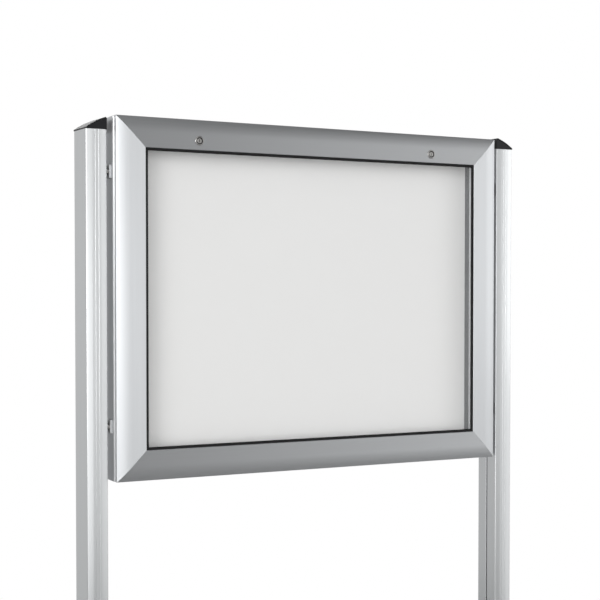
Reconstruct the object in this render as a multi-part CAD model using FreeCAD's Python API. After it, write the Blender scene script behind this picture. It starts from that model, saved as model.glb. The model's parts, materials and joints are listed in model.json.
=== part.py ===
import FreeCAD, Part
import math
import os

# Lockable notice board on two posts, in millimetres.
# +Z is up, the glazed door faces -Y, and the origin is on the ground midway between the posts.
# Inside the case two local sizes are used: "in" is measured inwards from the case's outer edge,
# and "deep" is measured backwards from the door's front crown.

# Overall sizes of the case
case_width = 905.0
case_height = 710.0
case_centre_height = 1540.0

# Door rails: convex front, hollow chamber, rebate for the pane
door_face_width = 60.0
crown_width = 30.0
crown_drop = 6.4
door_depth = 13.5
door_wall = 2.0
lip_width = 8.0
lip_thickness = 2.2
rebate_wall = 1.5

# Pane, gasket and bead
pane_thickness = 4.0
pane_edge_clearance = 1.5
gasket_thickness = 1.6
gasket_show = 5.6
gasket_nose = 1.2
bead_show = 4.6
bead_wall = 1.5
bead_clearance = 0.2

# Housing rails: hollow, with a ledge for the display panel
seal_gap = 1.5
seal_clearance = 0.3
seal_width = 5.0
housing_width = 60.5
housing_depth = 43.0
housing_wall = 2.0
rim_width = 4.0
rim_depth = 6.7
side_taper = 1.0
display_depth = 20.5
ledge_width = 14.0

# Display panel and what closes the back
panel_thickness = 1.0
board_thickness = 10.0
cover_thickness = 1.5
panel_edge_clearance = 0.8
clip_length = 20.0
clip_thickness = 1.5
clip_reach = 11.0
clip_depth = 7.6
clip_inset = 120.0
clip_screw_radius = 1.5
clip_screw_head_flats = 5.5
clip_screw_head_height = 1.8
clip_screw_end_distance = 3.0

# Corner cleats inside the mitred rails
cleat_clearance = 0.2
door_cleat_arm = 70.0
door_cleat_start = 12.0
door_cleat_width = 18.0
housing_cleat_arm = 85.0
housing_cleat_start = 14.0
housing_cleat_width = 26.0
housing_cleat_depth = 12.0

# Hinges along the bottom edge
hinge_end_distance = 152.5
hinge_axis_rise = 3.6
hinge_eye_radius = 3.3
hinge_pin_radius = 1.6
pin_running_clearance = 0.05
hinge_eye_length = 24.0
hinge_ear_length = 10.0
hinge_side_clearance = 0.4
hinge_sweep_clearance = 0.9
hinge_pocket_clearance = 0.6
hinge_leaf_thickness = 2.6
hinge_leaf_height = 20.0
hinge_leaf_clearance = 0.1
hinge_rivet_radius = 1.6
lug_rivet_spacing = 28.0
hinge_web_width = 3.8
leaf_rivet_in = 15.0
lug_rivet_in = 21.0
lug_clearance = 0.6

# Cam locks in the top rail
lock_end_distance = 175.0
lock_inset = 41.75
lock_bezel_radius = 9.5
lock_bezel_height = 1.6
lock_bezel_chamfer = 0.9
lock_dish_radius = 6.9
lock_dish_depth = 1.2
lock_barrel_radius = 7.0
lock_hole_clearance = 0.15
lock_plug_radius = 4.5
lock_plug_proud = 0.5
lock_plug_head_radius = 4.9
lock_plug_head_clearance = 0.1
plug_running_clearance = 0.05
lock_stud_end = 1.2
lock_nut_flats = 18.0
lock_nut_thickness = 3.0
lock_keyway_width = 1.4
lock_keyway_length = 6.0
lock_keyway_depth = 6.0
lock_tail_square = 5.6
lock_stud_radius = 2.2
cam_thickness = 2.0
cam_width = 12.0
cam_reach = 22.0
cam_clearance = 0.3
cam_nut_flats = 9.0
cam_nut_thickness = 3.0
cam_slot_clearance = 0.8

# Posts: extruded, fluted front and back, a T-slot facing the case
case_gap = 14.0
post_width = 43.0
post_depth = 68.0
post_wall = 2.4
post_corner_radius = 2.5
post_flank_drop = 2.0
post_band_width = 6.4
post_band_groove = 0.6
face_ahead_of_post = 14.7
post_top_below_case = 28.0
right_post_rise = 9.0
slot_mouth = 4.0
slot_lip = 2.6
slot_cavity_width = 13.0
slot_cavity_depth = 6.5

# Caps on the posts
cap_height = 23.8
cap_outer_height = 2.6
cap_peak_inset = 2.6
cap_inner_drop = 2.4
cap_crown = 1.8
cap_roof_thickness = 2.6
cap_front_inset = 1.0
cap_spigot_depth = 16.0
spigot_clearance = 0.25

# Brackets between the posts and the case
bracket_end_distance = 107.0
bracket_height = 26.0
bracket_flange = 5.0
bracket_front_deep = 29.0
bracket_back_deep = 54.0
bracket_slot_clearance = 0.3
bracket_screw_deep = 37.0
bracket_screw_radius = 3.0
bracket_screw_head_flats = 10.0
bracket_screw_head_height = 4.0
bracket_screw_length = 16.0
rivet_nut_flats = 9.0
rivet_nut_length = 12.0

# Feet
foot_width = 120.0
foot_depth = 200.0
foot_thickness = 10.0
foot_hole_radius = 7.0
foot_hole_spacing_x = 80.0
foot_hole_spacing_y = 160.0
foot_spigot_height = 130.0
foot_spigot_wall = 5.0
foot_corner_radius = 10.0
foot_screw_radius = 3.0
foot_screw_head_flats = 10.0
foot_screw_head_height = 4.0
foot_screw_first = 45.0
foot_screw_pitch = 55.0
foot_screw_length = 11.0
screw_hole_clearance = 0.2

# Sizes that follow from the values above
half_width = case_width / 2
half_height = case_height / 2
bottom_z = case_centre_height - half_height
crown_y = -(post_depth / 2 + face_ahead_of_post)
crown_radius = (crown_width ** 2 + crown_drop ** 2) / (2 * crown_drop)
rebate_in = door_face_width - lip_width
chamber_in = rebate_in - rebate_wall
pane_front = lip_thickness + gasket_thickness
pane_back = pane_front + pane_thickness
pane_in = rebate_in + pane_edge_clearance
housing_front = door_depth + seal_gap
housing_back = housing_front + housing_depth
panel_front = housing_front + display_depth
panel_back = panel_front + panel_thickness
board_back = panel_back + board_thickness
cover_back = board_back + cover_thickness
step_in = housing_width - ledge_width
hinge_deep = door_depth + seal_gap / 2
hinge_y = crown_y + hinge_deep
hinge_z = bottom_z + hinge_axis_rise
sweep_radius = math.hypot(hinge_axis_rise, seal_gap / 2) + hinge_sweep_clearance
pocket_radius = hinge_eye_radius + hinge_pocket_clearance
chamber_corner_sum = hinge_axis_rise + hinge_deep + (sweep_radius + housing_wall) * math.sqrt(2)
lug_start = chamber_corner_sum - housing_front - housing_wall + lug_clearance
lug_front = housing_front + housing_wall + hinge_leaf_clearance
lug_back = lug_front + hinge_leaf_thickness
leaf_back = door_depth - door_wall - hinge_leaf_clearance
leaf_front = leaf_back - hinge_leaf_thickness
leaf_start = door_wall + hinge_leaf_clearance
ear_start = hinge_eye_length / 2 + hinge_side_clearance
hinge_half = ear_start + hinge_ear_length
lock_z = case_centre_height + half_height - lock_inset
barrel_end = housing_front + housing_wall + cam_clearance
cam_front = barrel_end + cam_clearance
cam_back = cam_front + cam_thickness
lock_nut_room = lock_nut_flats / 2 / math.cos(math.pi / 6) + cam_slot_clearance
post_x = half_width + case_gap + post_width / 2
left_post_top = case_centre_height + half_height - post_top_below_case
right_post_top = left_post_top + right_post_rise
slot_back = post_width / 2 - slot_lip - slot_cavity_depth
main_chamber_in = -post_width / 2 + post_wall
main_chamber_out = slot_back - post_wall


def vec(x, y, z):
    return FreeCAD.Vector(x, y, z)


def save(name, shapes):
    """Write one solid, or a group of separate solids, as one node."""
    group = shapes if isinstance(shapes, list) else [shapes]
    shape = group[0] if len(group) == 1 else Part.makeCompound(group)
    shape.exportStep("parts/" + name + ".step")


def face_of(path, place):
    """A face inside a path of (a, b) points; an item ("arc", middle, end) is a round stretch."""
    here = path[0]
    edges = []
    for item in path[1:]:
        if item[0] == "arc":
            edges.append(Part.Arc(place(*here), place(*item[1]), place(*item[2])).toShape())
            here = item[2]
        else:
            edges.append(Part.makeLine(place(*here), place(*item)))
            here = item
    if place(*here).distanceToPoint(place(*path[0])) > 1e-6:
        edges.append(Part.makeLine(place(*here), place(*path[0])))
    return Part.Face(Part.Wire(edges))


def box(x0, x1, y0, y1, z0, z1):
    return Part.makeBox(x1 - x0, y1 - y0, z1 - z0, vec(x0, y0, z0))


def rod(radius, length, at, along):
    return Part.makeCylinder(radius, length, at, along)


def hexagon(flats, thickness, at, along):
    """A hexagonal prism that starts at a point and runs one way along a main axis."""
    first = vec(1, 0, 0) if abs(along.z) > 0 else vec(0, 0, 1)
    second = along.cross(first)
    corner = flats / math.sqrt(3)
    turns = [math.radians(60 * k) for k in range(7)]
    points = [at + (first * math.cos(turn) + second * math.sin(turn)) * corner for turn in turns]
    return Part.Face(Part.makePolygon(points)).extrude(along * thickness)


def hex_screw(radius, length, flats, head_height, at, along):
    """A hexagon-headed screw whose head seats at a point and whose shank runs along."""
    return rod(radius, length, at, along).fuse(hexagon(flats, head_height, at, along * -1))


def mirrored(shape):
    """The same piece on the other side of the board's middle plane."""
    return shape.mirror(vec(0, 0, 0), vec(1, 0, 0))


# Each rail is made as the top one, then turned about the case's centre to its own side.
TURNS = {"top": 0, "right": 90, "bottom": 180, "left": -90}


def to_side(shape, side):
    shape.rotate(vec(0, 0, 0), vec(0, 1, 0), TURNS[side])
    shape.translate(vec(0, 0, case_centre_height))
    return shape


def rail(side, outline, hollow=None):
    """A rail with mitred ends on one side of the case, from (in, deep) sections."""
    upright = side in ("left", "right")
    edge = half_width if upright else half_height
    half_length = half_height if upright else half_width

    def place(inwards, deep):
        return vec(-half_length, crown_y + deep, edge - inwards)

    section = face_of(outline, place)
    if hollow:
        section = section.cut(face_of(hollow, place))
    bar = section.extrude(vec(2 * half_length, 0, 0))
    reach = housing_width + door_face_width
    ahead = crown_y - door_depth
    corners = [(-half_length, edge), (half_length, edge), (half_length - reach, edge - reach),
               (-half_length + reach, edge - reach)]
    mitre = face_of(corners, lambda x, z: vec(x, ahead, z))
    bar = bar.common(mitre.extrude(vec(0, 2 * (housing_back + door_depth), 0)))
    return to_side(bar, side)


def crown_deep(inwards, wall):
    """How deep the door's front lies at a place on its round outer stretch, under a wall."""
    return crown_radius - math.sqrt((crown_radius - wall) ** 2 - (crown_width - inwards) ** 2)


def crown_arc(wall):
    """The round stretch of the door's front, or of the front wall's inner face."""
    return [(inwards, crown_deep(inwards, wall)) for inwards in (crown_width, (crown_width + wall) / 2, wall)]


def door_outline():
    inner_end, middle, outer_end = crown_arc(0)
    return [outer_end, (0, door_depth), (rebate_in, door_depth), (rebate_in, lip_thickness),
            (door_face_width, lip_thickness), (door_face_width, 0), inner_end,
            ("arc", middle, outer_end)]


def door_hollow():
    inner_end, middle, outer_end = crown_arc(door_wall)
    back = door_depth - door_wall
    return [outer_end, (door_wall, back), (chamber_in, back), (chamber_in, door_wall), inner_end,
            ("arc", middle, outer_end)]


def side_taper_at(deep):
    """How far the housing's outer wall stands in from the case edge at a depth."""
    rim_back = housing_front + rim_depth
    return side_taper * (deep - rim_back) / (housing_back - rim_back)


def housing_outline():
    return [(0, housing_front + rim_depth), (rim_width, housing_front), (housing_width, housing_front),
            (housing_width, panel_front), (step_in, panel_front), (step_in, housing_back),
            (side_taper, housing_back)]


def housing_hollow():
    """The chamber; its front outer corner is cut off to leave a wall round the hinge's sweep."""
    wall = housing_wall
    front = housing_front + wall
    back = housing_back - wall
    side = chamber_corner_sum - wall
    return [(wall + side_taper_at(side), side), (chamber_corner_sum - front, front),
            (housing_width - wall, front),
            (housing_width - wall, panel_front - wall), (step_in - wall, panel_front - wall),
            (step_in - wall, back), (wall + side_taper_at(back), back)]


def hinge_sweep():
    """What the door's lower back edge passes through as it turns."""
    at = vec(-half_width - 1, hinge_y, hinge_z)
    swept = rod(sweep_radius, case_width + 2, at, vec(1, 0, 0))
    below = box(-half_width - 1, half_width + 1, hinge_y - sweep_radius, hinge_y + sweep_radius,
                bottom_z - 1, hinge_z)
    return swept.fuse(below)


HINGE_X = (hinge_end_distance - half_width, half_width - hinge_end_distance)
LOCK_X = {"left": lock_end_distance - half_width, "right": half_width - lock_end_distance}


def leaf_rivets(clearance=0.0):
    """The flush rivet through the door's back wall and each hinge leaf, or the holes for them."""
    return [rod(hinge_rivet_radius + clearance, door_depth - leaf_front,
                vec(x, crown_y + door_depth, bottom_z + leaf_rivet_in), vec(0, -1, 0)) for x in HINGE_X]


def lug_rivets(clearance=0.0):
    """The two flush rivets through the housing's front wall and each hinge lug, or their holes."""
    return [rod(hinge_rivet_radius + clearance, lug_back - housing_front,
                vec(x + step, crown_y + housing_front, bottom_z + lug_rivet_in), vec(0, 1, 0))
            for x in HINGE_X for step in (-lug_rivet_spacing / 2, lug_rivet_spacing / 2)]


def door_rails():
    rails = {side: rail(side, door_outline(), door_hollow()) for side in TURNS}
    pocket_length = 2 * (hinge_half + hinge_side_clearance)
    for x in HINGE_X:
        at = vec(x - pocket_length / 2, hinge_y, hinge_z)
        pocket = rod(pocket_radius, pocket_length, at, vec(1, 0, 0))
        rails["bottom"] = rails["bottom"].cut(pocket)
    rails["bottom"] = rails["bottom"].cut(leaf_rivets(screw_hole_clearance))
    for x in LOCK_X.values():
        hole = rod(lock_barrel_radius + lock_hole_clearance, 2 * door_depth,
                   vec(x, crown_y - door_depth / 2, lock_z), vec(0, 1, 0))
        rails["top"] = rails["top"].cut(hole)
    return rails


def cam_recess(x):
    """The keyhole in the housing's front wall that the nut and the turned cam pass through."""
    front = crown_y + housing_front - housing_wall
    depth = 3 * housing_wall
    hole = rod(lock_nut_room, depth, vec(x, front, lock_z), vec(0, 1, 0))
    inner = x - math.copysign(cam_reach + cam_slot_clearance, x)
    half = cam_width / 2 + cam_slot_clearance
    slot = box(min(x, inner), max(x, inner), front, front + depth, lock_z - half, lock_z + half)
    return hole.fuse(slot)


def housing_rails(clip_screws):
    sweep = hinge_sweep()
    rails = {side: rail(side, housing_outline(), housing_hollow()).cut(sweep) for side in TURNS}
    for x in HINGE_X:
        for ends in ((-hinge_half, -ear_start), (ear_start, hinge_half)):
            window = box(x + ends[0] - hinge_side_clearance, x + ends[1] + hinge_side_clearance,
                         hinge_y, crown_y + lug_back + hinge_side_clearance,
                         bottom_z - housing_wall, bottom_z + lug_start + hinge_web_width)
            rails["bottom"] = rails["bottom"].cut(window)
    rails["bottom"] = rails["bottom"].cut(lug_rivets(screw_hole_clearance))
    for x in LOCK_X.values():
        rails["top"] = rails["top"].cut(cam_recess(x))
    for side in ("left", "right"):
        rails[side] = rails[side].cut(rivet_nut_holes(side))
    for side in TURNS:
        rails[side] = rails[side].cut(clip_screws[side])
    return rails


def bracket_heights():
    return (bottom_z + bracket_end_distance, bottom_z + case_height - bracket_end_distance)


def cleats(arm, start, width, front, back):
    """Four corner pieces, each an L inside the chambers of two rails."""
    found = []
    for sx in (-1, 1):
        for sz in (-1, 1):
            x = half_width - start
            z = half_height - start
            across = box(x - arm, x, crown_y + front, crown_y + back, z - width, z)
            up = box(x - width, x, crown_y + front, crown_y + back, z - arm, z)
            piece = across.fuse(up).removeSplitter()
            if sx < 0:
                piece = piece.mirror(vec(0, 0, 0), vec(1, 0, 0))
            if sz < 0:
                piece = piece.mirror(vec(0, 0, 0), vec(0, 0, 1))
            piece.translate(vec(0, 0, case_centre_height))
            found.append(piece)
    return found


def gasket_outline():
    nose = gasket_nose
    end = door_face_width + gasket_show
    return [(rebate_in, lip_thickness), (door_face_width, lip_thickness), (door_face_width, nose),
            (end - nose, nose), (end, 2 * nose), (end, pane_front), (rebate_in, pane_front)]


def bead_outline():
    outer = rebate_in + bead_clearance
    inner = door_face_width + bead_show
    back = door_depth - bead_clearance
    wall = bead_wall
    return [(outer, pane_back), (inner, pane_back), (inner, back), (inner - wall, back),
            (inner - wall, pane_back + wall), (outer + wall, pane_back + wall), (outer + wall, back),
            (outer, back)]


def seal_outline():
    inner = housing_width - seal_clearance
    front = door_depth + seal_clearance
    return [(inner - seal_width, housing_front), (inner - seal_width + seal_clearance, front),
            (inner - seal_clearance, front), (inner, housing_front)]


def sheet(edge_in, front, thickness):
    """A flat sheet inside the case, from its front's depth."""
    return box(-half_width + edge_in, half_width - edge_in, crown_y + front, crown_y + front + thickness,
               bottom_z + edge_in, bottom_z + case_height - edge_in)


def cover_clips():
    """Bent clips along the step behind the rear cover, and the screw in each."""
    clips = []
    screws = {side: [] for side in TURNS}
    wall = crown_y + cover_back
    for side in TURNS:
        upright = side in ("left", "right")
        step_z = (half_width if upright else half_height) - step_in
        along = half_width - clip_inset
        for x in (0,) if upright else (-along, along):
            start = x - clip_length / 2
            foot = box(start, start + clip_length, wall, wall + clip_thickness, step_z - clip_reach, step_z)
            tab = box(start, start + clip_length, wall, wall + clip_depth, step_z - clip_thickness, step_z)
            at = vec(x, wall + clip_depth - clip_screw_end_distance, step_z - clip_thickness)
            screw = hex_screw(clip_screw_radius, clip_thickness + housing_wall, clip_screw_head_flats,
                              clip_screw_head_height, at, vec(0, 0, 1))
            clips.append(to_side(foot.fuse(tab).removeSplitter().cut(screw), side))
            screws[side].append(to_side(screw, side))
    return clips, screws


def hinge_leaves():
    """The door's half of each hinge: a plate inside the rail, a web and the eye on the axis."""
    bore = hinge_pin_radius + pin_running_clearance
    found = []
    for x in HINGE_X:
        start = x - hinge_eye_length / 2
        end = x + hinge_eye_length / 2
        plate = box(start, end, crown_y + leaf_front, crown_y + leaf_back,
                    bottom_z + leaf_start, bottom_z + leaf_start + hinge_leaf_height)
        web = box(start, end, crown_y + leaf_front, hinge_y,
                  bottom_z + leaf_start, bottom_z + leaf_start + hinge_leaf_thickness)
        eye = rod(hinge_eye_radius, hinge_eye_length, vec(start, hinge_y, hinge_z), vec(1, 0, 0))
        hole = rod(bore, hinge_eye_length, vec(start, hinge_y, hinge_z), vec(1, 0, 0))
        found.append(plate.fuse([web, eye]).cut(hole).cut(leaf_rivets()))
    return found


def hinge_lugs():
    """The housing's half of each hinge: a plate behind the front wall with an ear at each end."""
    bore = hinge_pin_radius + pin_running_clearance
    foot_deep = (lug_front + lug_back) / 2
    run = vec(0, foot_deep - hinge_deep, lug_start - hinge_axis_rise)
    across = vec(0, -run.z, run.y).normalize() * (hinge_web_width / 2)
    found = []
    for x in HINGE_X:
        plate = box(x - hinge_half, x + hinge_half, crown_y + lug_front, crown_y + lug_back,
                    bottom_z + lug_start, bottom_z + lug_start + hinge_leaf_height)
        pieces = []
        for start in (x - hinge_half, x + ear_start):
            centre = vec(start, hinge_y, hinge_z)
            corners = [centre + across, centre - across, centre + run - across, centre + run + across,
                       centre + across]
            web = Part.Face(Part.makePolygon(corners)).extrude(vec(hinge_ear_length, 0, 0))
            eye = rod(hinge_eye_radius, hinge_ear_length, centre, vec(1, 0, 0))
            pieces += [web, eye]
        hole = rod(bore, 2 * hinge_half, vec(x - hinge_half, hinge_y, hinge_z), vec(1, 0, 0))
        found.append(plate.fuse(pieces).cut(hole).cut(lug_rivets()))
    return found


def hinge_pins():
    return [rod(hinge_pin_radius, 2 * hinge_half, vec(x - hinge_half, hinge_y, hinge_z), vec(1, 0, 0))
            for x in HINGE_X]


def turned(profile, x):
    """A piece turned about a lock's axis, from (radius, deep) points."""
    face = face_of(profile, lambda radius, deep: vec(x + radius, crown_y + deep, lock_z))
    return face.revolve(vec(x, crown_y, lock_z), vec(0, 1, 0), 360)


def lock_barrel(x):
    bore = lock_plug_radius + plug_running_clearance
    front = -lock_bezel_height
    floor = front + lock_dish_depth
    chamfer = lock_bezel_chamfer
    profile = [(bore, floor), (lock_dish_radius, floor), (lock_dish_radius, front),
               (lock_bezel_radius - chamfer, front), (lock_bezel_radius, front + chamfer),
               (lock_bezel_radius, 0), (lock_barrel_radius, 0), (lock_barrel_radius, barrel_end),
               (bore, barrel_end)]
    return turned(profile, x)


def lock_nut(x):
    at = vec(x, crown_y + door_depth, lock_z)
    nut = hexagon(lock_nut_flats, lock_nut_thickness, at, vec(0, 1, 0))
    return nut.cut(rod(lock_barrel_radius, lock_nut_thickness, at, vec(0, 1, 0)))


def lock_plug(x):
    seat = lock_dish_depth - lock_bezel_height - lock_plug_head_clearance
    front = seat - lock_plug_proud
    stud_end = cam_back + cam_nut_thickness + lock_stud_end
    profile = [(0, front), (lock_plug_head_radius, front), (lock_plug_head_radius, seat),
               (lock_plug_radius, seat), (lock_plug_radius, barrel_end), (0, barrel_end)]
    half = lock_tail_square / 2
    tail = box(x - half, x + half, crown_y + barrel_end, crown_y + cam_back, lock_z - half, lock_z + half)
    stud = rod(lock_stud_radius, stud_end - cam_back, vec(x, crown_y + cam_back, lock_z), vec(0, 1, 0))
    keyway = box(x - lock_keyway_width / 2, x + lock_keyway_width / 2, crown_y + front,
                 crown_y + front + lock_keyway_depth, lock_z - lock_keyway_length / 2,
                 lock_z + lock_keyway_length / 2)
    return turned(profile, x).fuse([tail, stud]).cut(keyway)


def lock_cam(x):
    """The cam points at the board's middle while the lock is open, and upwards while it is locked."""
    towards = -math.copysign(1, x)
    round_half = cam_width / 2
    tip = x + towards * (cam_reach - round_half)
    at = crown_y + cam_front
    arm = box(min(x, tip), max(x, tip), at, at + cam_thickness, lock_z - round_half, lock_z + round_half)
    ends = [rod(round_half, cam_thickness, vec(end, at, lock_z), vec(0, 1, 0)) for end in (x, tip)]
    half = lock_tail_square / 2
    hole = box(x - half, x + half, at, at + cam_thickness, lock_z - half, lock_z + half)
    return arm.fuse(ends).removeSplitter().cut(hole)


def cam_nut(x):
    at = vec(x, crown_y + cam_back, lock_z)
    nut = hexagon(cam_nut_flats, cam_nut_thickness, at, vec(0, 1, 0))
    return nut.cut(rod(lock_stud_radius, cam_nut_thickness, at, vec(0, 1, 0)))


def post_outline():
    """The left post's outline as (x, y) from its own centre; its inner side faces +X."""
    flank = post_width / 2 - post_corner_radius
    band = post_band_width / 2
    front = post_depth / 2
    edge = front - post_flank_drop
    sweep = (flank - band) / 2
    radius = ((flank - band) ** 2 + post_flank_drop ** 2) / (2 * post_flank_drop)
    shoulder = front - radius + math.sqrt(radius ** 2 - sweep ** 2)
    turn = post_corner_radius * math.sqrt(0.5)
    side = edge - post_corner_radius
    quarter = [(band, front), ("arc", (band + sweep, shoulder), (flank, edge)),
               ("arc", (flank + turn, side + turn), (post_width / 2, side))]

    def flipped(item, sx, sy):
        if item[0] == "arc":
            return ("arc", flipped(item[1], sx, sy), flipped(item[2], sx, sy))
        return (item[0] * sx, item[1] * sy)

    def backwards(sx, sy):
        return [(post_width / 2 * sx, side * sy),
                ("arc", ((flank + turn) * sx, (side + turn) * sy), (flank * sx, edge * sy)),
                ("arc", ((band + sweep) * sx, shoulder * sy), (band * sx, front * sy))]

    path = [flipped(item, 1, 1) for item in quarter] + backwards(1, -1)
    return path + [flipped(item, -1, -1) for item in quarter] + backwards(-1, 1)


def post_tube(top):
    """The left post without its screw holes, from the foot plate to its top."""
    height = top - foot_thickness
    up = vec(0, 0, height)
    tube = face_of(post_outline(), lambda x, y: vec(x - post_x, y, foot_thickness)).extrude(up)
    groove = post_depth / 2 - post_band_groove
    band = post_band_width / 2
    inner_face = post_width / 2
    side = post_depth / 2 - post_flank_drop - post_wall
    cavity = slot_cavity_width / 2
    hollows = [(main_chamber_in, main_chamber_out, -side, side),
               (slot_back, inner_face - slot_lip, -cavity, cavity),
               (slot_back, inner_face + post_wall, -slot_mouth / 2, slot_mouth / 2),
               (slot_back, inner_face - post_wall, cavity + post_wall, side),
               (slot_back, inner_face - post_wall, -side, -cavity - post_wall),
               (band, band + post_band_groove, groove, groove + post_wall),
               (-band - post_band_groove, -band, groove, groove + post_wall),
               (band, band + post_band_groove, -groove - post_wall, -groove),
               (-band - post_band_groove, -band, -groove - post_wall, -groove)]
    return tube.cut([box(x0 - post_x, x1 - post_x, y0, y1, foot_thickness, top)
                     for x0, x1, y0, y1 in hollows])


def foot_screw_places():
    return [vec(-post_x, post_depth / 2, foot_thickness + foot_screw_first + k * foot_screw_pitch)
            for k in range(2)]


def post(top):
    holes = [rod(foot_screw_radius + screw_hole_clearance, foot_screw_length, at, vec(0, -1, 0))
             for at in foot_screw_places()]
    return post_tube(top).cut(holes)


def chamber_plug(z0, z1):
    """What fills the left post's main chamber between two heights, with the clearance round it."""
    side = post_depth / 2 - post_flank_drop - post_wall - spigot_clearance
    return box(main_chamber_in + spigot_clearance - post_x, main_chamber_out - spigot_clearance - post_x,
               -side, side, z0, z1)


def post_cap(top):
    """The left post's cap: a wedge that falls outwards under a rounded roof."""
    inner = post_width / 2
    peak = (inner - cap_peak_inset, cap_height)
    low = (-inner, cap_outer_height)
    chord = math.hypot(peak[0] - low[0], peak[1] - low[1])
    lift = (-(peak[1] - low[1]) / chord * cap_crown, (peak[0] - low[0]) / chord * cap_crown)
    middle = ((peak[0] + low[0]) / 2 + lift[0], (peak[1] + low[1]) / 2 + lift[1])
    outline = [(-inner, 0), (inner, 0), (inner, cap_height - cap_inner_drop), peak, ("arc", middle, low)]
    front = -post_depth / 2
    wedge = face_of(outline, lambda x, z: vec(x - post_x, front, top + z)).extrude(vec(0, post_depth, 0))
    recesses = []
    for y in (front, -front - cap_front_inset):
        below = face_of(outline, lambda x, z: vec(x - post_x, y, top + z - cap_roof_thickness))
        recesses.append(below.extrude(vec(0, cap_front_inset, 0)))
    return wedge.cut(recesses).fuse(chamber_plug(top - cap_spigot_depth, top)).removeSplitter()


def foot():
    """The left foot: a plate on the ground and the spigot that the post slides over."""
    plate = box(-post_x - foot_width / 2, -post_x + foot_width / 2, -foot_depth / 2, foot_depth / 2,
                0, foot_thickness)
    upright = [edge for edge in plate.Edges if abs(edge.tangentAt(edge.FirstParameter).z) > 0.9]
    plate = plate.makeFillet(foot_corner_radius, upright)
    holes = []
    for sx in (-1, 1):
        for sy in (-1, 1):
            at = vec(-post_x + sx * foot_hole_spacing_x / 2, sy * foot_hole_spacing_y / 2, 0)
            holes.append(rod(foot_hole_radius, foot_thickness, at, vec(0, 0, 1)))
    spigot = chamber_plug(foot_thickness, foot_thickness + foot_spigot_height)
    corner = spigot.BoundBox
    wall = foot_spigot_wall
    inside = box(corner.XMin + wall, corner.XMax - wall, corner.YMin + wall, corner.YMax - wall,
                 foot_thickness, corner.ZMax)
    screws = [rod(foot_screw_radius, foot_screw_length, at, vec(0, -1, 0)) for at in foot_screw_places()]
    return plate.cut(holes).fuse(spigot.cut(inside)).cut(screws)


def foot_screws():
    return [hex_screw(foot_screw_radius, foot_screw_length, foot_screw_head_flats, foot_screw_head_height,
                      at, vec(0, -1, 0)) for at in foot_screw_places()]


def bracket(z):
    """A right-hand bracket: a flange on the housing's side and a head in the post's slot."""
    wall_front = half_width - side_taper_at(bracket_front_deep)
    wall_back = half_width - side_taper_at(bracket_back_deep)
    outer = wall_front + bracket_flange
    front = crown_y + bracket_front_deep
    back = crown_y + bracket_back_deep
    neck = slot_mouth / 2 - bracket_slot_clearance
    head = slot_cavity_width / 2 - bracket_slot_clearance
    lip_back = post_x - post_width / 2 + slot_lip + bracket_slot_clearance
    head_back = post_x - slot_back - bracket_slot_clearance
    outline = [(wall_front, front), (outer, front), (outer, -neck), (lip_back, -neck), (lip_back, -head),
               (head_back, -head), (head_back, head), (lip_back, head), (lip_back, neck), (outer, neck),
               (outer, back), (wall_back, back)]
    bottom = z - bracket_height / 2
    return face_of(outline, lambda x, y: vec(x, y, bottom)).extrude(vec(0, 0, bracket_height))


def bracket_screw(z):
    outer = half_width - side_taper_at(bracket_front_deep) + bracket_flange
    at = vec(outer, crown_y + bracket_screw_deep, z)
    return hex_screw(bracket_screw_radius, bracket_screw_length, bracket_screw_head_flats,
                     bracket_screw_head_height, at, vec(-1, 0, 0))


def rivet_nut(z, clearance=0.0):
    """The hexagonal threaded sleeve in the housing's side wall, long enough to be cut flush."""
    wall = half_width - side_taper_at(bracket_screw_deep)
    at = vec(wall + housing_wall, crown_y + bracket_screw_deep, z)
    return hexagon(rivet_nut_flats + 2 * clearance, rivet_nut_length + housing_wall, at, vec(-1, 0, 0))


def rivet_nut_holes(side):
    holes = [rivet_nut(z, screw_hole_clearance) for z in bracket_heights()]
    return [mirrored(hole) for hole in holes] if side == "left" else holes


def save_posts():
    for side, top in (("left", left_post_top), ("right", right_post_top)):
        pieces = {"post": post(top), "post_cap": post_cap(top), "foot": foot()}
        for name, piece in pieces.items():
            save(name + "_" + side, piece if side == "left" else mirrored(piece))
    screws = foot_screws()
    save("foot_screws", screws + [mirrored(screw) for screw in screws])


def save_brackets():
    low, high = bracket_heights()
    screws = []
    nuts = []
    for z, level in ((low, "lower"), (high, "upper")):
        screw = bracket_screw(z)
        piece = bracket(z).cut(screw)
        nut = rivet_nut(z).cut([piece, screw])
        save("bracket_right_" + level, piece)
        save("bracket_left_" + level, mirrored(piece))
        screws += [screw, mirrored(screw)]
        nuts += [nut, mirrored(nut)]
    save("bracket_screws", screws)
    save("rivet_nuts", nuts)


def save_housing():
    clips, clip_screws = cover_clips()
    for side, piece in housing_rails(clip_screws).items():
        save("housing_" + side + "_rail", piece)
        save("door_seal_" + side, rail(side, seal_outline()))
    front = housing_front + housing_wall + cleat_clearance
    save("housing_corner_cleats", cleats(housing_cleat_arm, housing_cleat_start, housing_cleat_width,
                                         front, front + housing_cleat_depth))
    edge = step_in + panel_edge_clearance
    save("display_panel", sheet(edge, panel_front, panel_thickness))
    save("backing_board", sheet(edge, panel_back, board_thickness))
    save("rear_cover", sheet(edge, board_back, cover_thickness))
    save("rear_clips", clips)
    save("rear_clip_screws", [screw for group in clip_screws.values() for screw in group])


def save_hinges():
    save("hinge_leaves", hinge_leaves())
    save("hinge_lugs", hinge_lugs())
    save("hinge_pins", hinge_pins())
    save("hinge_rivets_door", leaf_rivets())
    save("hinge_rivets_housing", lug_rivets())


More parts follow.
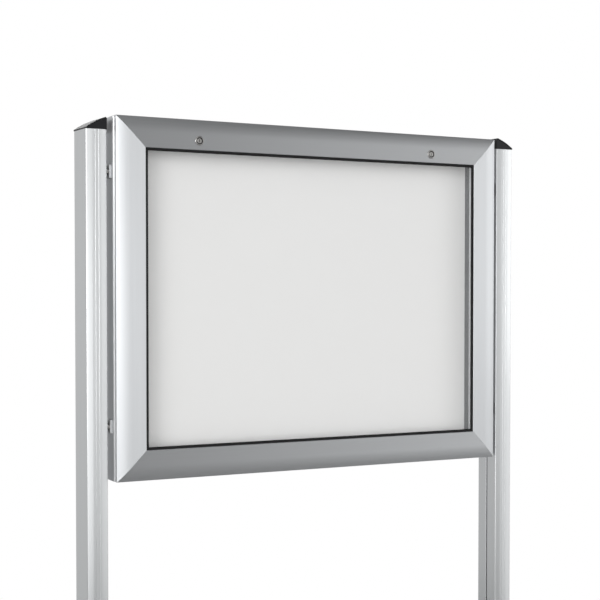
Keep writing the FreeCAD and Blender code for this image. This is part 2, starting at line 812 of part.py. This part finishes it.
def save_door():
    names = {"top": "door_top_rail", "bottom": "door_bottom_rail", "left": "door_left_stile",
             "right": "door_right_stile"}
    for side, piece in door_rails().items():
        save(names[side], piece)
        save("gasket_" + side, rail(side, gasket_outline()))
        save("glazing_bead_" + side, rail(side, bead_outline()))
    front = crown_deep(door_cleat_start, door_wall) + cleat_clearance
    save("door_corner_cleats", cleats(door_cleat_arm, door_cleat_start, door_cleat_width,
                                      front, door_depth - door_wall - cleat_clearance))
    save("glazing_pane", sheet(pane_in, pane_front, pane_thickness))


def save_locks():
    for side, x in LOCK_X.items():
        save("lock_barrel_" + side, lock_barrel(x))
        save("lock_nut_" + side, lock_nut(x))
        save("lock_plug_" + side, lock_plug(x))
        save("lock_cam_" + side, lock_cam(x))
        save("cam_nut_" + side, cam_nut(x))


os.makedirs("parts", exist_ok=True)
save_posts()
save_brackets()
save_housing()
save_hinges()
save_door()
save_locks()
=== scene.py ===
import json
import math

import bmesh
import bpy
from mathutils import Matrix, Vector


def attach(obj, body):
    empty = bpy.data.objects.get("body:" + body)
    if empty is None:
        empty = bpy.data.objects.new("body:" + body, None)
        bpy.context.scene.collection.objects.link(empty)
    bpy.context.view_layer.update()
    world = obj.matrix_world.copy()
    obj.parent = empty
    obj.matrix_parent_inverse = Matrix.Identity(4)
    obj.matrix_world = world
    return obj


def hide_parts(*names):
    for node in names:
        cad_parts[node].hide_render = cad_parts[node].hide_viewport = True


# Looks of a lockable notice board on two posts. Lengths are in metres, and MM turns millimetres
# into them. +Z is up, the glazed door faces -Y, and the origin is on the ground midway between
# the posts.
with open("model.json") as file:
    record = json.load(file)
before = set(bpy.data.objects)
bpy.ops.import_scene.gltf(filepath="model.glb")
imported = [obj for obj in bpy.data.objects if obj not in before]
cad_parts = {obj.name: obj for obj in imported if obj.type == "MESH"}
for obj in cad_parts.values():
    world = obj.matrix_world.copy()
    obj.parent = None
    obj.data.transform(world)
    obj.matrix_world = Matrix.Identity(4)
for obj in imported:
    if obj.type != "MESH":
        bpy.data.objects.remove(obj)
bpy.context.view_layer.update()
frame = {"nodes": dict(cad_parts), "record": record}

MM = 0.001
BODIES = frame["record"]["behaviour"]["bodies"]
BODY_OF = {name: body for body, names in BODIES.items() for name in names}
SLOT_OF = {part["node"]: part["material_slot"] for part in frame["record"]["subparts"]}
ALONG_X = (1, 0, 0)
ALONG_Z = (0, 0, 1)
WHITE = (1, 1, 1, 1)


def linear(code):
    """A linear colour from an sRGB hex code."""
    found = []
    for start in (1, 3, 5):
        channel = int(code[start:start + 2], 16) / 255
        found.append(channel / 12.92 if channel <= 0.04045 else ((channel + 0.055) / 1.055) ** 2.4)
    return (*found, 1)


def node(tree, kind, settings=None, links=None):
    """Adds a node, sets its values and sockets by name or number, and links outputs to sockets."""
    made = tree.nodes.new(kind)
    for key, value in (settings or {}).items():
        if isinstance(key, str) and hasattr(made, key):
            setattr(made, key, value)
        else:
            made.inputs[key].default_value = value
    for key, source in (links or {}).items():
        tree.links.new(source, made.inputs[key])
    return made


def material_tree(name):
    """A new material with an empty node tree."""
    material = bpy.data.materials.new(name)
    material.use_nodes = True
    material.node_tree.nodes.clear()
    return material, material.node_tree


def finished(material, tree, shader):
    """The material, with its shader on its surface."""
    node(tree, "ShaderNodeOutputMaterial", links={"Surface": shader.outputs[0]})
    return material


# Sockets of a Mix node that mixes two colours: its inputs, and the output they give
MIX_SHARE = 0
MIX_FIRST = 6
MIX_SECOND = 7
MIX_RESULT = 2

# How far a finish's roughness wanders to each side, and how strongly its relief shows
LINED_WANDER = 0.05
LINED_BUMP = 0.15
MOTTLED_WANDER = 0.04
MOTTLED_BUMP = 0.3


def across_grain(tree, grain):
    """The direction on the surface that lies across the grain, where reflections spread."""
    surface = node(tree, "ShaderNodeNewGeometry")
    return node(tree, "ShaderNodeVectorMath", {"operation": "CROSS_PRODUCT", 0: grain},
                {1: surface.outputs["Normal"]})


def lined_metal(name, light, dark, grain, roughness, spread, spacing, run, relief=0.01 * MM):
    """Metal with fine lines along the grain, spacing apart and run long, that smear reflections."""
    material, tree = material_tree(name)
    place = node(tree, "ShaderNodeTexCoord")
    scale = [1 / run if along else 1 / spacing for along in grain]
    stretched = node(tree, "ShaderNodeMapping", {"Scale": scale},
                     {"Vector": place.outputs["Object"]})
    lines = node(tree, "ShaderNodeTexNoise", {"Scale": 1, "Detail": 3, "Roughness": 0.6},
                 {"Vector": stretched.outputs[0]})
    tone = node(tree, "ShaderNodeMix",
                {"data_type": "RGBA", MIX_FIRST: linear(dark), MIX_SECOND: linear(light)},
                {MIX_SHARE: lines.outputs[0]})
    gloss = node(tree, "ShaderNodeMapRange",
                 {"To Min": roughness - LINED_WANDER, "To Max": roughness + LINED_WANDER},
                 {"Value": lines.outputs[0]})
    bump = node(tree, "ShaderNodeBump", {"Strength": LINED_BUMP, "Distance": relief},
                {"Height": lines.outputs[0]})
    shader = node(tree, "ShaderNodeBsdfPrincipled", {"Metallic": 1, "Anisotropic": spread},
                  {"Base Color": tone.outputs[MIX_RESULT], "Roughness": gloss.outputs[0],
                   "Normal": bump.outputs[0], "Tangent": across_grain(tree, grain).outputs[0]})
    return finished(material, tree, shader)


def anodised_aluminium(name, light, dark, grain, roughness=0.4):
    """Aluminium extruded and anodised: a soft satin with faint die lines that smear reflections.

    The real lines lie about 0.1 mm apart. They are drawn 1.5 mm apart, as fine as a render shows.
    """
    return lined_metal(name, light, dark, grain, roughness, spread=0.8, spacing=1.5 * MM,
                       run=400 * MM)


def mottled(name, light, dark, roughness, mottle, relief, metallic=0.0, specular=0.5):
    """A finish with an even mottle of the given size, as coating, moulding or casting leaves it."""
    material, tree = material_tree(name)
    place = node(tree, "ShaderNodeTexCoord")
    grit = node(tree, "ShaderNodeTexNoise", {"Scale": 1 / mottle, "Detail": 2},
                {"Vector": place.outputs["Object"]})
    tone = node(tree, "ShaderNodeMix",
                {"data_type": "RGBA", MIX_FIRST: linear(dark), MIX_SECOND: linear(light)},
                {MIX_SHARE: grit.outputs[0]})
    gloss = node(tree, "ShaderNodeMapRange",
                 {"To Min": roughness - MOTTLED_WANDER, "To Max": roughness + MOTTLED_WANDER},
                 {"Value": grit.outputs[0]})
    bump = node(tree, "ShaderNodeBump", {"Strength": MOTTLED_BUMP, "Distance": relief},
                {"Height": grit.outputs[0]})
    shader = node(tree, "ShaderNodeBsdfPrincipled",
                  {"Metallic": metallic, "Specular IOR Level": specular},
                  {"Base Color": tone.outputs[MIX_RESULT], "Roughness": gloss.outputs[0],
                   "Normal": bump.outputs[0]})
    return finished(material, tree, shader)


SPANGLE_WIDTH = 9 * MM
SPANGLE_GLOSSY = 0.38
SPANGLE_MATT = 0.62
OXIDISED = 0.9


def galvanised_steel():
    """Steel dipped in zinc: matt greys in a patchwork of crystals called spangle, at real size.

    A thin oxide on the zinc dulls it to a little less than bare metal.
    """
    material, tree = material_tree("hot_dip_galvanised_steel")
    place = node(tree, "ShaderNodeTexCoord")
    spangle = node(tree, "ShaderNodeTexVoronoi", {"Scale": 1 / SPANGLE_WIDTH},
                   {"Vector": place.outputs["Object"]})
    grey = node(tree, "ShaderNodeRGBToBW", links={0: spangle.outputs["Color"]})
    tone = node(tree, "ShaderNodeMix",
                {"data_type": "RGBA", MIX_FIRST: linear("#8E9193"), MIX_SECOND: linear("#B9BCBD")},
                {MIX_SHARE: grey.outputs[0]})
    gloss = node(tree, "ShaderNodeMapRange", {"To Min": SPANGLE_GLOSSY, "To Max": SPANGLE_MATT},
                 {"Value": grey.outputs[0]})
    shader = node(tree, "ShaderNodeBsdfPrincipled", {"Metallic": OXIDISED},
                  {"Base Color": tone.outputs[MIX_RESULT], "Roughness": gloss.outputs[0]})
    return finished(material, tree, shader)


def clear_glass():
    """Toughened float glass: flat, polished and clear, with a faint mirror of the room on it.

    Lamp light, and what metal mirrors, pass straight through it, so the panel behind stays white.
    """
    material, tree = material_tree("toughened_float_glass")
    glass = node(tree, "ShaderNodeBsdfPrincipled",
                 {"Base Color": WHITE, "Roughness": 0.0, "IOR": 1.5, "Transmission Weight": 1})
    passing = node(tree, "ShaderNodeBsdfTransparent", {"Color": WHITE})
    ray = node(tree, "ShaderNodeLightPath")
    lit = node(tree, "ShaderNodeMath", {"operation": "MAXIMUM"},
               {0: ray.outputs["Is Shadow Ray"], 1: ray.outputs["Is Diffuse Ray"]})
    mirrored = node(tree, "ShaderNodeMath", {"operation": "SUBTRACT", "use_clamp": True},
                    {0: ray.outputs["Is Glossy Ray"], 1: ray.outputs["Is Transmission Ray"]})
    clear = node(tree, "ShaderNodeMath", {"operation": "MAXIMUM"},
                 {0: lit.outputs[0], 1: mirrored.outputs[0]})
    shader = node(tree, "ShaderNodeMixShader",
                  links={0: clear.outputs[0], 1: glass.outputs[0], 2: passing.outputs[0]})
    return finished(material, tree, shader)


# The case's bars and the posts are anodised silver, the posts a little paler and smoother
CASE_SILVER = ("#CDCFD1", "#C6C8CA")
POST_SILVER = ("#D3D5D6", "#CCCECF")
door_across = anodised_aluminium("anodised_aluminium_door_rails", *CASE_SILVER, ALONG_X)
door_upright = anodised_aluminium("anodised_aluminium_door_stiles", *CASE_SILVER, ALONG_Z)
housing_across = anodised_aluminium("anodised_aluminium_housing_across", *CASE_SILVER, ALONG_X)
housing_upright = anodised_aluminium("anodised_aluminium_housing_upright", *CASE_SILVER, ALONG_Z)
post_metal = anodised_aluminium("anodised_aluminium_posts", *POST_SILVER, ALONG_Z, roughness=0.32)

# The rolled rim behind the door carries a painted highlight: a paler copy of the aluminium, for the
# pale line of light beside the door. Its lines along its length, under 0.1 mm wide, are drawn 1.2
# mm wide.
rim_painted_highlight = lined_metal("aluminium_rim_painted_highlight", "#F0F1F2", "#EAEBEC", ALONG_Z, roughness=0.4,
                         spread=0.8, spacing=1.2 * MM, run=200 * MM)

# The housing's inner return round the display panel carries painted shade: a duller, darker grey
# than the case. Its pits of 0.1 mm are drawn 1.2 mm wide.
inner_return_painted_shade = mottled("aluminium_inner_return_painted_shade", "#7E8082", "#75777A", roughness=0.55,
                      mottle=1.2 * MM, relief=0.01 * MM, metallic=1.0)

# Brackets cut from bar as it left the mill: clearer light and dark than anodised metal, with die
# lines of 0.1 mm drawn 1.2 mm wide
bracket_metal = lined_metal("mill_finish_aluminium", "#D0D1D2", "#BFC1C2", ALONG_Z, roughness=0.38,
                            spread=0.6, spacing=1.2 * MM, run=200 * MM)

# Cleats left as cast: a dull, uneven grey skin with flow marks 0.7 mm wide, as they are
cast_alloy = mottled("die_cast_aluminium", "#B4B5B6", "#9C9DA0", roughness=0.5, mottle=0.7 * MM,
                     relief=0.03 * MM, metallic=1.0)

# Moulded ABS from a spark-eroded tool: near black with a low satin shine. Its grain of 0.1 mm is
# drawn 0.9 mm wide.
cap_plastic = mottled("moulded_abs_satin_black", "#1D1E20", "#17181A", roughness=0.4,
                      mottle=0.9 * MM, relief=0.01 * MM, specular=0.25)

# Solid rubber pushed through a die: a matt black line round the glass. Its pits of 0.2 mm are
# drawn 1.1 mm wide.
gasket_rubber = mottled("extruded_epdm_rubber", "#0F0F10", "#0A0A0B", roughness=0.62,
                        mottle=1.1 * MM, relief=0.02 * MM, specular=0.3)

# Foamed rubber: a little greyer, with almost no shine. Its cells of 0.5 mm are drawn 1.4 mm wide.
# In the locks it also lines the groove round the plug as painted shade.
seal_rubber = mottled("sponge_epdm_rubber", "#222223", "#18181A", roughness=0.8, mottle=1.4 * MM,
                      relief=0.08 * MM)

# Enamel fired on sheet steel: an even, smooth white whose shine has a faint ripple 2.2 mm wide
display_white = mottled("white_enamelled_steel", "#EDEDEC", "#E9E9E8", roughness=0.42,
                        mottle=2.2 * MM, relief=0.006 * MM)

# Foamed plastic board: a matt off-white. Its cells of 0.3 mm are drawn 0.8 mm wide.
board_foam = mottled("foamed_pvc_sheet", "#E2E2DE", "#D8D8D3", roughness=0.7, mottle=0.8 * MM,
                     relief=0.04 * MM)

# Sheet steel coated in the coil: a plain mid grey with a soft sheen and a ripple 1.8 mm wide
cover_grey = mottled("grey_coated_steel_sheet", "#8F9295", "#86898C", roughness=0.5,
                     mottle=1.8 * MM, relief=0.02 * MM)

# Stainless steel, turned or stamped: warmer than aluminium, with tool marks of 0.1 mm drawn
# 0.8 mm wide
stainless = lined_metal("stainless_steel", "#C9C7C3", "#B8B6B2", ALONG_X, roughness=0.34,
                        spread=0.4, spacing=0.8 * MM, run=6 * MM)

# Steel plated with bright zinc: a cool shine that clouds from blue to straw in patches 3 mm wide
zinc_plate = mottled("bright_zinc_plated_steel", "#C8CACF", "#B5B6B4", roughness=0.33,
                     mottle=3.0 * MM, relief=0.01 * MM, metallic=1.0)

# A die-casting blasted and plated with nickel: a warm, soft shine. Its blasting of 0.1 mm is
# drawn 0.6 mm wide.
nickel = mottled("satin_nickel_plate", "#AFAEAC", "#A3A2A0", roughness=0.36,
                 mottle=0.6 * MM, relief=0.006 * MM, metallic=1.0)

spangled = galvanised_steel()
glass = clear_glass()

SLOT_FINISH = {
    "post_aluminium": post_metal, "cap_plastic": cap_plastic, "foot_steel": spangled,
    "fixing_steel": stainless, "bracket_aluminium": bracket_metal, "cleat_alloy": cast_alloy,
    "display_white": display_white, "board_foam": board_foam, "cover_sheet": cover_grey,
    "clip_steel": zinc_plate, "seal_rubber": seal_rubber, "gasket_rubber": gasket_rubber,
    "pane_glass": glass, "hinge_steel": stainless, "lock_nickel": nickel, "lock_steel": zinc_plate,
}
# Finishes of the bars that run both ways, as (level, upright)
BAR_FINISHES = {
    "door_aluminium": (door_across, door_upright), "bead_aluminium": (door_across, door_upright),
    "housing_aluminium": (housing_across, housing_upright),
}


def is_upright(name):
    """Whether a bar of the case runs up its left or right side."""
    return "left" in name or "right" in name


def finish_of(name):
    """A node's material; on the case's bars it follows the bar's own direction."""
    slot = SLOT_OF[name]
    if slot not in BAR_FINISHES:
        return SLOT_FINISH[slot]
    level, upright = BAR_FINISHES[slot]
    return upright if is_upright(name) else level


def box_of(*names):
    """The least and greatest corner of CAD nodes."""
    points = [vertex.co for name in names for vertex in frame["nodes"][name].data.vertices]
    least, greatest = (Vector([choose(point[axis] for point in points) for axis in range(3)])
                       for choose in (min, max))
    return least, greatest


def in_scene(name, data):
    """A new object in the scene."""
    made = bpy.data.objects.new(name, data)
    bpy.context.scene.collection.objects.link(made)
    return made


# Edges as a maker leaves them
EXTRUDED_EDGE = 0.4 * MM
SAWN_EDGE = 0.2 * MM
PRESSED_EDGE = 0.3 * MM
MOULDED_EDGE = 0.5 * MM

# Points closer than WELD are one, faces within FLAT_ANGLE are one flat face, and an edge that
# turns more than CORNER_ANGLE is a corner to round. Shading is smooth over edges that turn less
# than SMOOTH_ANGLE, and LARGE_FACE_WEIGHT keeps it level on the flats beside them.
WELD = 0.001 * MM
FLAT_ANGLE = math.radians(0.2)
CORNER_ANGLE = math.radians(28)
SMOOTH_ANGLE = math.radians(35)
LARGE_FACE_WEIGHT = 100


def piece(bm, name, finishes=()):
    """Makes a bmesh the piece that stands for a CAD node, on its body and with its slot's finishes.
    """
    mesh = bpy.data.meshes.new(name + "_finished")
    bm.to_mesh(mesh)
    bm.free()
    mesh.polygons.foreach_set("use_smooth", [True] * len(mesh.polygons))
    mesh.set_sharp_from_angle(angle=SMOOTH_ANGLE)
    for finish in (finish_of(name), *finishes):
        mesh.materials.append(finish)
    obj = in_scene(name + "_finished", mesh)
    flats = obj.modifiers.new("large_faces_stay_flat", "WEIGHTED_NORMAL")
    flats.keep_sharp = True
    flats.weight = LARGE_FACE_WEIGHT
    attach(obj, BODY_OF[name])
    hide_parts(name)


def welded(name):
    """A CAD node's shape as one closed skin, with its flat faces whole again."""
    bm = bmesh.new()
    bm.from_mesh(frame["nodes"][name].data)
    bmesh.ops.remove_doubles(bm, verts=bm.verts, dist=WELD)
    bmesh.ops.dissolve_limit(bm, angle_limit=FLAT_ANGLE, verts=bm.verts, edges=bm.edges)
    return bm


def round_edges(bm, edges, width, segments):
    bmesh.ops.bevel(bm, geom=edges, offset=width, segments=segments, profile=0.5, affect="EDGES",
                    material=-1, clamp_overlap=False)


def ease_edges(bm, width, segments=2):
    """Rounds every corner edge by a small width, as sawing, moulding or anodising leaves it."""
    corners = [edge for edge in bm.edges
               if len(edge.link_faces) == 2 and edge.calc_face_angle() > CORNER_ANGLE]
    round_edges(bm, corners, width, segments)


def round_where(bm, found, width, segments):
    """Rounds the edges whose two ends both lie where found says."""
    edges = [edge for edge in bm.edges
             if len(edge.link_faces) == 2 and all(found(end.co) for end in edge.verts)]
    round_edges(bm, edges, width, segments)


# The case's outer edge and front, found from the door rails
CASE_LOW, CASE_HIGH = box_of("door_top_rail", "door_bottom_rail",
                             "door_left_stile", "door_right_stile")
CASE_FRONT = CASE_LOW.y
NEAR = 0.05 * MM


def near(value, wanted):
    return abs(value - wanted) < NEAR


def inwards(point, upright):
    """How far a point lies in from the case's outer edge, on an upright bar or on a level one."""
    if upright:
        return min(point.x - CASE_LOW.x, CASE_HIGH.x - point.x)
    return min(point.z - CASE_LOW.z, CASE_HIGH.z - point.z)


# A door rail's face is DOOR_FACE_WIDTH wide, and its convex half falls back by CROWN_DROP
DOOR_FACE_WIDTH = 60 * MM
CROWN_DROP = 6.4 * MM
GLASS_SIDE_RADIUS = 1.0 * MM
OUTER_SIDE_RADIUS = 0.8 * MM
DOOR_ROUND_STEPS = 4


def door_rail(name):
    """A door rail: a fine radius on its outer edge, a fuller one beside the glass, crisp mitres."""
    upright = is_upright(name)

    def beside_glass(at):
        return near(inwards(at, upright), DOOR_FACE_WIDTH) and near(at.y, CASE_FRONT)

    def on_outer_edge(at):
        return near(inwards(at, upright), 0) and near(at.y, CASE_FRONT + CROWN_DROP)

    bm = welded(name)
    round_where(bm, beside_glass, GLASS_SIDE_RADIUS, DOOR_ROUND_STEPS)
    round_where(bm, on_outer_edge, OUTER_SIDE_RADIUS, DOOR_ROUND_STEPS)
    ease_edges(bm, SAWN_EDGE)
    piece(bm, name)


# The housing begins behind the door. Its rim lies RIM_WIDTH in from the case's outer edge.
DOOR_DEPTH = 15 * MM
HOUSING_FRONT = CASE_FRONT + DOOR_DEPTH
HOUSING_WIDTH = 60.5 * MM
RIM_WIDTH = 4 * MM
RIM_DEPTH = 7.2 * MM
RIM_ROLL = 7.0 * MM
RIM_ROLL_STEPS = 6
IN_RETURN = 1
IN_RIM = 2


def housing_rail(name):
    """A housing rail with its rim rolled over behind the door.

    The bottom rail's rim keeps its corner, because the hinges pass there. The inner return, seen
    through the glass, gets painted shade, and the front of an upright's rim gets a painted
    highlight.
    """
    upright = is_upright(name)

    def on_rim_corner(at):
        return near(inwards(at, upright), RIM_WIDTH) and near(at.y, HOUSING_FRONT)

    bm = welded(name)
    if "bottom" not in name:
        round_where(bm, on_rim_corner, RIM_ROLL, RIM_ROLL_STEPS)
    ease_edges(bm, EXTRUDED_EDGE)
    # Painted shade on the inner return, and a painted highlight on the front of an upright's rim
    for face in bm.faces:
        middle = face.calc_center_median()
        depth = inwards(middle, upright)
        if near(depth, HOUSING_WIDTH):
            face.material_index = IN_RETURN
        elif upright and depth < RIM_WIDTH + NEAR and middle.y < HOUSING_FRONT + RIM_DEPTH:
            face.material_index = IN_RIM
    piece(bm, name, finishes=(inner_return_painted_shade, rim_painted_highlight))


# The band's grooves lie to each side of a post's middle, and a slot runs up the side that faces the
# case. A point past FACE_REACH of the post's half depth is on its front or rear face.
POST_WIDTH = 43 * MM
BAND_GROOVE_OUTER = 3.8 * MM
SLOT_HALF_MOUTH = 2.0 * MM
FACE_REACH = 0.99
GROOVE_LIP_RADIUS = 0.5 * MM
SLOT_LIP_RADIUS = 0.9 * MM
POST_ROUND_STEPS = 3


def post(name):
    """A post whose band grooves open softly and whose slot has rounded lips."""
    low, high = box_of(name)
    middle = (low.x + high.x) / 2

    def on_groove_lip(at):
        return near(abs(at.x - middle), BAND_GROOVE_OUTER) and abs(at.y) > FACE_REACH * high.y

    def on_slot_lip(at):
        return near(abs(at.x - middle), POST_WIDTH / 2) and near(abs(at.y), SLOT_HALF_MOUTH)

    bm = welded(name)
    round_where(bm, on_groove_lip, GROOVE_LIP_RADIUS, POST_ROUND_STEPS)
    round_where(bm, on_slot_lip, SLOT_LIP_RADIUS, POST_ROUND_STEPS)
    ease_edges(bm, EXTRUDED_EDGE)
    piece(bm, name)


BARREL_RADIUS = 7.0 * MM
BARREL_BORE = 4.55 * MM
BEZEL_RADIUS = 9.5 * MM
BEZEL_FRONT = -1.6 * MM
BEZEL_SHOULDER = -0.5 * MM
BEZEL_STEP = 8.4 * MM
DISH_RADIUS = 6.9 * MM
GROOVE_FLOOR = 2.2 * MM
SLEEVE_RADIUS = 5.2 * MM
SLEEVE_FRONT = -0.4 * MM
TURNED_STEPS = 72
TURNED_EDGE_STEPS = 3
# The front of a lock barrel's outline, from its bore out to the face of the rail, as (radius, depth
# behind that face). It is turned about the lock's axis.
BARREL_FRONT = ((BARREL_BORE, SLEEVE_FRONT), (SLEEVE_RADIUS, SLEEVE_FRONT),
                (SLEEVE_RADIUS, GROOVE_FLOOR), (DISH_RADIUS, GROOVE_FLOOR),
                (DISH_RADIUS, BEZEL_FRONT), (BEZEL_STEP, BEZEL_FRONT),
                (BEZEL_RADIUS, BEZEL_SHOULDER), (BEZEL_RADIUS, 0), (BARREL_RADIUS, 0))


def lock_barrel(name):
    """A turned barrel: domed bezel, and round the plug a groove lined black as painted shade."""
    low, high = box_of(name)
    centre = Vector(((low.x + high.x) / 2, 0, (low.z + high.z) / 2))
    outline = [(radius, CASE_FRONT + depth) for radius, depth in BARREL_FRONT]
    outline += [(BARREL_RADIUS, high.y), (BARREL_BORE, high.y)]
    bm = bmesh.new()
    ends = [bm.verts.new(centre + Vector((radius, y, 0))) for radius, y in outline]
    sides = [bm.edges.new(pair) for pair in zip(ends, ends[1:] + ends[:1])]
    bmesh.ops.spin(bm, geom=ends + sides, cent=centre, axis=(0, 1, 0), angle=math.tau,
                   steps=TURNED_STEPS, use_merge=True)
    bmesh.ops.recalc_face_normals(bm, faces=bm.faces)
    for face in bm.faces:
        middle = face.calc_center_median()
        reach = (middle - centre).xz.length
        in_shaded_groove = SLEEVE_RADIUS + NEAR < reach < DISH_RADIUS + NEAR
        sunk = CASE_FRONT + BEZEL_FRONT + NEAR < middle.y < high.y - NEAR
        # The groove round the plug takes the black rubber as painted shade
        face.material_index = int(in_shaded_groove and sunk)
    ease_edges(bm, PRESSED_EDGE, TURNED_EDGE_STEPS)
    piece(bm, name, finishes=(seal_rubber,))


# How wide each slot's pieces have their corner edges rounded, where they have no form of their own
EDGE_WIDTHS = {
    "cap_plastic": MOULDED_EDGE, "foot_steel": PRESSED_EDGE, "fixing_steel": SAWN_EDGE,
    "bracket_aluminium": PRESSED_EDGE, "cleat_alloy": PRESSED_EDGE, "display_white": SAWN_EDGE,
    "board_foam": SAWN_EDGE, "cover_sheet": SAWN_EDGE, "clip_steel": SAWN_EDGE,
    "seal_rubber": SAWN_EDGE, "gasket_rubber": EXTRUDED_EDGE, "bead_aluminium": SAWN_EDGE,
    "pane_glass": PRESSED_EDGE, "hinge_steel": SAWN_EDGE, "lock_nickel": SAWN_EDGE,
    "lock_steel": SAWN_EDGE,
}
SHAPED_BY = {"door_aluminium": door_rail, "housing_aluminium": housing_rail, "post_aluminium": post}


def make_piece(name):
    """The piece for a CAD node: with a form of its own, or the CAD shape with eased edges."""
    slot = SLOT_OF[name]
    if name.startswith("lock_barrel"):
        lock_barrel(name)
    elif slot in SHAPED_BY:
        SHAPED_BY[slot](name)
    else:
        bm = welded(name)
        ease_edges(bm, EDGE_WIDTHS[slot])
        piece(bm, name)


# Camera at the photograph's viewing angle, in front and to the left, with a long lens
CAMERA_PLACE = (-1.4939, -2.6142, 1.5509)
CAMERA_TURN = math.radians(-29.385)
CAMERA_TILT = math.radians(90 - 1.719)
CAMERA_LENS = 85.55
CAMERA_SENSOR = 36.0
CAMERA_SHIFT_UP = 0.0608


def set_camera():
    lens = bpy.data.cameras.new("camera")
    lens.lens = CAMERA_LENS
    lens.sensor_width = CAMERA_SENSOR
    lens.shift_y = CAMERA_SHIFT_UP
    camera = in_scene("camera", lens)
    camera.location = CAMERA_PLACE
    camera.rotation_euler = (CAMERA_TILT, 0, CAMERA_TURN)
    bpy.context.scene.camera = camera


def seen_directly(tree):
    """One where the camera looks, straight or through the glass, and nothing for other light."""
    ray = node(tree, "ShaderNodeLightPath")
    return node(tree, "ShaderNodeMath", {"operation": "MAXIMUM"},
                {0: ray.outputs["Is Camera Ray"], 1: ray.outputs["Is Transmission Ray"]})


FLOOR_RADIUS = 3.4
FLOOR_SIDES = 96
FLOOR_FADE_START = 0.4 * FLOOR_RADIUS
FLOOR_PALENESS = 0.5
FLOOR_PAINT = "#B4B4B4"


def floor_material():
    """Pale studio floor: half paint and half white to the camera, and all white at its rim."""
    material, tree = material_tree("pale_studio_floor")
    place = node(tree, "ShaderNodeTexCoord")
    distance = node(tree, "ShaderNodeVectorMath", {"operation": "LENGTH"},
                    {0: place.outputs["Object"]})
    rim = node(tree, "ShaderNodeMapRange",
               {"From Min": FLOOR_FADE_START, "From Max": FLOOR_RADIUS, "To Min": FLOOR_PALENESS},
               {"Value": distance.outputs["Value"]})
    seen = seen_directly(tree)
    fade = node(tree, "ShaderNodeMath", {"operation": "MULTIPLY"},
                {0: rim.outputs[0], 1: seen.outputs[0]})
    paint = node(tree, "ShaderNodeBsdfPrincipled",
                 {"Base Color": linear(FLOOR_PAINT), "Roughness": 0.8})
    white = node(tree, "ShaderNodeEmission", {"Color": WHITE, "Strength": 1})
    shader = node(tree, "ShaderNodeMixShader",
                  links={0: fade.outputs[0], 1: paint.outputs[0], 2: white.outputs[0]})
    return finished(material, tree, shader)


def set_floor():
    bm = bmesh.new()
    bmesh.ops.create_circle(bm, cap_ends=True, segments=FLOOR_SIDES, radius=FLOOR_RADIUS)
    mesh = bpy.data.meshes.new("studio_floor")
    bm.to_mesh(mesh)
    bm.free()
    mesh.materials.append(floor_material())
    in_scene("studio_floor", mesh)


# The room round the board: dark, with soft bright sides as (azimuth, rise, reach, level). Azimuth
# 0 is in front of the board and 90 to its right, and each side fades to nothing over its reach.
# Angles are in degrees.
ROOM_SIDES = ((-150, 0, 50, 0.74), (-78, 0, 32, 0.75), (-45, 0, 32, 0.95), (-15, 0, 32, 0.95),
              (-15, 35, 40, 1.1), (0, 90, 50, 0.4), (44, 0, 32, 1.15), (75, 0, 32, 0.85),
              (150, 0, 50, 0.65))


def direction(azimuth, rise):
    """The unit vector that points from the board to a side of the room."""
    turn = math.radians(azimuth)
    up = math.radians(rise)
    return Vector((math.sin(turn) * math.cos(up), -math.cos(turn) * math.cos(up), math.sin(up)))


def glow(tree, place, azimuth, rise, reach, level):
    """A soft bright side of the room."""
    facing = node(tree, "ShaderNodeVectorMath",
                  {"operation": "DOT_PRODUCT", 1: direction(azimuth, rise)},
                  {0: place.outputs["Generated"]})
    return node(tree, "ShaderNodeMapRange",
                {"interpolation_type": "SMOOTHSTEP", "From Min": math.cos(math.radians(reach)),
                 "From Max": 1, "To Max": level},
                {"Value": facing.outputs["Value"]})


def set_room():
    """The room that lights the board, while the camera sees plain white behind it."""
    world = bpy.data.worlds.new("studio_room")
    world.use_nodes = True
    tree = world.node_tree
    tree.nodes.clear()
    place = node(tree, "ShaderNodeTexCoord")
    total, *others = [glow(tree, place, *side) for side in ROOM_SIDES]
    for side in others:
        total = node(tree, "ShaderNodeMath", {"operation": "ADD"},
                     {0: total.outputs[0], 1: side.outputs[0]})
    room = node(tree, "ShaderNodeBackground", {"Color": WHITE}, {"Strength": total.outputs[0]})
    white = node(tree, "ShaderNodeBackground", {"Color": WHITE, "Strength": 1})
    seen = seen_directly(tree)
    shader = node(tree, "ShaderNodeMixShader",
                  links={0: seen.outputs[0], 1: room.outputs[0], 2: white.outputs[0]})
    node(tree, "ShaderNodeOutputWorld", links={"Surface": shader.outputs[0]})
    bpy.context.scene.world = world


# Lamps stand round the board and face the middle of its case
LAMP_DISTANCE = 3.4
LAMP_AIM = Vector((0, 0, 1.5))


def lamp(name, azimuth, height, width, tall, power):
    """A soft panel lamp, with its azimuth in degrees as the room's sides have it."""
    light = bpy.data.lights.new(name, "AREA")
    light.shape = "RECTANGLE"
    light.size = width
    light.size_y = tall
    light.energy = power
    panel = in_scene(name, light)
    panel.location = direction(azimuth, 0) * LAMP_DISTANCE + Vector((0, 0, height))
    panel.rotation_euler = (LAMP_AIM - panel.location).to_track_quat("-Z", "Y").to_euler()


for name in sorted(frame["nodes"]):
    make_piece(name)
set_camera()
set_floor()
set_room()
lamp("key_panel", azimuth=-58, height=2.2, width=1.3, tall=2.4, power=39)
lamp("low_panel", azimuth=-18, height=1.1, width=1.1, tall=1.6, power=9)
lamp("side_panel", azimuth=62, height=2.2, width=1.1, tall=2.0, power=7)
lamp("back_panel", azimuth=180, height=2.8, width=1.6, tall=1.0, power=14)
bpy.context.scene.view_settings.view_transform = "Standard"
